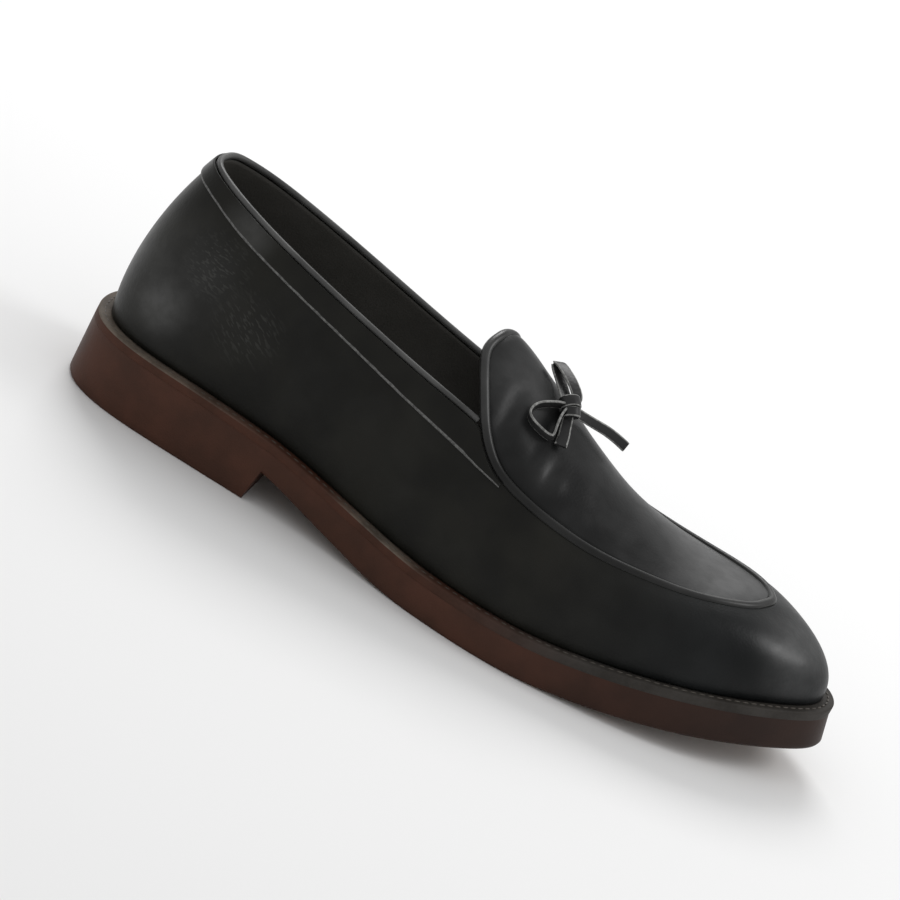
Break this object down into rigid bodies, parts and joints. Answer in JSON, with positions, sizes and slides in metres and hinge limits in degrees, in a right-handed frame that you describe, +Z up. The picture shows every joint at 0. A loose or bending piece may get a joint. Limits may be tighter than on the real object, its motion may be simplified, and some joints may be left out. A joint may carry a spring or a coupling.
{
  "type": "bow loafer",
  "caption": "Slip-on leather loafer, right shoe: hollow lasted upper with a collar band, piped apron, free tongue and cord bow on a welted rubber sole with a low heel.",
  "frame": {"origin": "on the floor under the middle of the sole: middle of the shoe's box without the bow, at its lowest level", "axes": "+X towards the toe, +Y towards the inner side of the foot, +Z up"},
  "size_m": [0.3018, 0.1048, 0.095],
  "materials": {
    "black_leather": "black calf leather with a fine grain, soft shine",
    "apron_leather": "black calf leather, polished towards the toe",
    "piping_leather": "rolled black leather with a light line along its crest",
    "cord_leather": "flat black leather lace with pale cut edges, satin",
    "lining_leather": "dark grey-brown lining leather, matt",
    "welt_leather": "brown to grey-brown welt with a pale rim and stitches, matt",
    "brown_rubber": "dark red-brown rubber, satin, with a tan tread"
  },
  "bodies": {
    "root": {"outsole": "brown_rubber", "welt": "welt_leather", "insole": "lining_leather", "upper": "black_leather", "collar_band": "black_leather", "topline_binding": "piping_leather", "apron": "apron_leather", "apron_piping": "piping_leather", "bow_knot": "cord_leather", "bow_loop_outer": "cord_leather", "bow_loop_inner": "cord_leather", "bow_end_outer": "cord_leather", "bow_end_inner": "cord_leather"}
  },
  "joints": []
}
